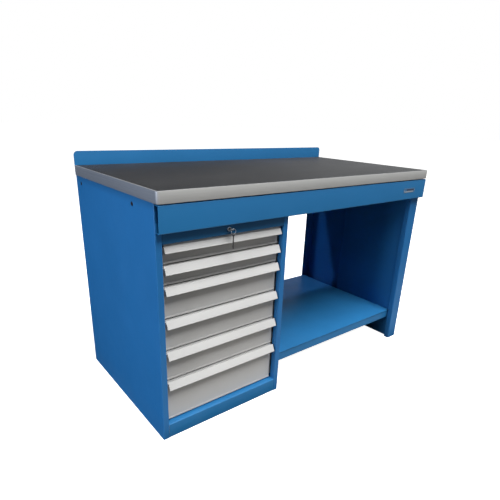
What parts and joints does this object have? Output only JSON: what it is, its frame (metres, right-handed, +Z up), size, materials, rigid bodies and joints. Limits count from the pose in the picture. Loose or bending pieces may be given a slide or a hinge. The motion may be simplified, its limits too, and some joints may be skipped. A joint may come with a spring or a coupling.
{
  "type": "workbench with drawers",
  "caption": "Steel workbench with a mat-covered top and rear upstand, a lockable drawer cabinet under one end, a folded end panel under the other and a low shelf between them.",
  "frame": {"origin": "centre of the bench's footprint, on the floor", "axes": "+X to the user's right along the bench, +Y to the back, +Z up; the drawers face -Y"},
  "size_m": [1.5, 0.75, 0.998],
  "materials": {
    "blue_paint": "satin powder coat, mid blue",
    "side_paint": "satin powder coat, mid blue",
    "edge_metal": "satin aluminium edging with lines along it",
    "core_wood": "laminated board, hidden under the mat and the metal edge",
    "mat_rubber": "matt dark grey mat with a fine grain along the bench",
    "grey_paint": "satin powder coat, light grey",
    "zinc": "zinc plated",
    "lock_metal": "nickel plated",
    "badge_plate": "satin plate, left blank"
  },
  "bodies": {
    "bench": {"worktop_core": "core_wood", "edge_trim": "edge_metal", "rubber_mat": "mat_rubber", "rear_upstand": "blue_paint", "front_apron": "blue_paint", "rear_rail": "blue_paint", "left_side_panel": "side_paint", "cabinet_right_side": "side_paint", "cabinet_back": "side_paint", "cabinet_floor": "side_paint", "bottom_front_rail": "blue_paint", "lock_rail": "blue_paint", "right_end_panel": "side_paint", "right_inner_panel": "side_paint", "lower_shelf": "blue_paint", "shelf_front_rail": "blue_paint", "shelf_bracket": "side_paint", "slide_posts": "zinc", "slides_fixed": "zinc", "lock_barrel": "lock_metal", "bar_guides": "zinc", "badge": "badge_plate", "worktop_screws": "zinc"},
    "drawer_1": {"drawer_1_tray": "grey_paint", "drawer_1_front": "grey_paint", "drawer_1_handle": "grey_paint", "drawer_1_slides": "zinc"},
    "slide_1": {"slide_1_middle": "zinc"},
    "drawer_2": {"drawer_2_tray": "grey_paint", "drawer_2_front": "grey_paint", "drawer_2_handle": "grey_paint", "drawer_2_slides": "zinc"},
    "slide_2": {"slide_2_middle": "zinc"},
    "drawer_3": {"drawer_3_tray": "grey_paint", "drawer_3_front": "grey_paint", "drawer_3_handle": "grey_paint", "drawer_3_slides": "zinc"},
    "slide_3": {"slide_3_middle": "zinc"},
    "drawer_4": {"drawer_4_tray": "grey_paint", "drawer_4_front": "grey_paint", "drawer_4_handle": "grey_paint", "drawer_4_slides": "zinc"},
    "slide_4": {"slide_4_middle": "zinc"},
    "drawer_5": {"drawer_5_tray": "grey_paint", "drawer_5_front": "grey_paint", "drawer_5_handle": "grey_paint", "drawer_5_slides": "zinc"},
    "slide_5": {"slide_5_middle": "zinc"},
    "drawer_6": {"drawer_6_tray": "grey_paint", "drawer_6_front": "grey_paint", "drawer_6_handle": "grey_paint", "drawer_6_slides": "zinc"},
    "slide_6": {"slide_6_middle": "zinc"},
    "lock": {"lock_plug": "lock_metal", "lock_key": "lock_metal"},
    "lock_slider": {"lock_slider": "zinc"},
    "locking_bar": {"locking_bar": "zinc"},
    "key_ring": {"key_ring": "lock_metal", "spare_key": "lock_metal"}
  },
  "joints": [
    {"name": "drawer_1_pull", "type": "slide", "parent": "bench", "child": "drawer_1", "axis": [0, -1, 0], "range_m": [0, 0.56]},
    {"name": "slide_1_extend", "type": "slide", "parent": "bench", "child": "slide_1", "axis": [0, -1, 0], "range_m": [0, 0.2801]},
    {"name": "drawer_2_pull", "type": "slide", "parent": "bench", "child": "drawer_2", "axis": [0, -1, 0], "range_m": [0, 0.56]},
    {"name": "slide_2_extend", "type": "slide", "parent": "bench", "child": "slide_2", "axis": [0, -1, 0], "range_m": [0, 0.2801]},
    {"name": "drawer_3_pull", "type": "slide", "parent": "bench", "child": "drawer_3", "axis": [0, -1, 0], "range_m": [0, 0.56]},
    {"name": "slide_3_extend", "type": "slide", "parent": "bench", "child": "slide_3", "axis": [0, -1, 0], "range_m": [0, 0.2801]},
    {"name": "drawer_4_pull", "type": "slide", "parent": "bench", "child": "drawer_4", "axis": [0, -1, 0], "range_m": [0, 0.56]},
    {"name": "slide_4_extend", "type": "slide", "parent": "bench", "child": "slide_4", "axis": [0, -1, 0], "range_m": [0, 0.2801]},
    {"name": "drawer_5_pull", "type": "slide", "parent": "bench", "child": "drawer_5", "axis": [0, -1, 0], "range_m": [0, 0.56]},
    {"name": "slide_5_extend", "type": "slide", "parent": "bench", "child": "slide_5", "axis": [0, -1, 0], "range_m": [0, 0.2801]},
    {"name": "drawer_6_pull", "type": "slide", "parent": "bench", "child": "drawer_6", "axis": [0, -1, 0], "range_m": [0, 0.56]},
    {"name": "slide_6_extend", "type": "slide", "parent": "bench", "child": "slide_6", "axis": [0, -1, 0], "range_m": [0, 0.2801]},
    {"name": "lock_turn", "type": "hinge", "parent": "bench", "child": "lock", "pos_m": [-0.463, -0.351, 0.785], "axis": [0, 1, 0], "range_deg": [0, 90.1]},
    {"name": "lock_slider_slide", "type": "slide", "parent": "bench", "child": "lock_slider", "axis": [-1, 0, 0], "range_m": [0, 0.0101]},
    {"name": "locking_bar_drop", "type": "slide", "parent": "bench", "child": "locking_bar", "axis": [0, 0, -1], "range_m": [0, 0.01]},
    {"name": "key_ring_swing", "type": "hinge", "parent": "lock", "child": "key_ring", "pos_m": [-0.456, -0.367, 0.785], "axis": [0, 1, 0], "range_deg": [-100, 20]}
  ],
  "couplings": [
    {"joint": "slide_1_extend", "follows": "drawer_1_pull", "ratio": 0.5},
    {"joint": "slide_2_extend", "follows": "drawer_2_pull", "ratio": 0.5},
    {"joint": "slide_3_extend", "follows": "drawer_3_pull", "ratio": 0.5},
    {"joint": "slide_4_extend", "follows": "drawer_4_pull", "ratio": 0.5},
    {"joint": "slide_5_extend", "follows": "drawer_5_pull", "ratio": 0.5},
    {"joint": "slide_6_extend", "follows": "drawer_6_pull", "ratio": 0.5},
    {"joint": "lock_turn", "follows": "locking_bar_drop", "rad_per_m": 157.08},
    {"joint": "lock_slider_slide", "follows": "locking_bar_drop", "ratio": 1}
  ]
}
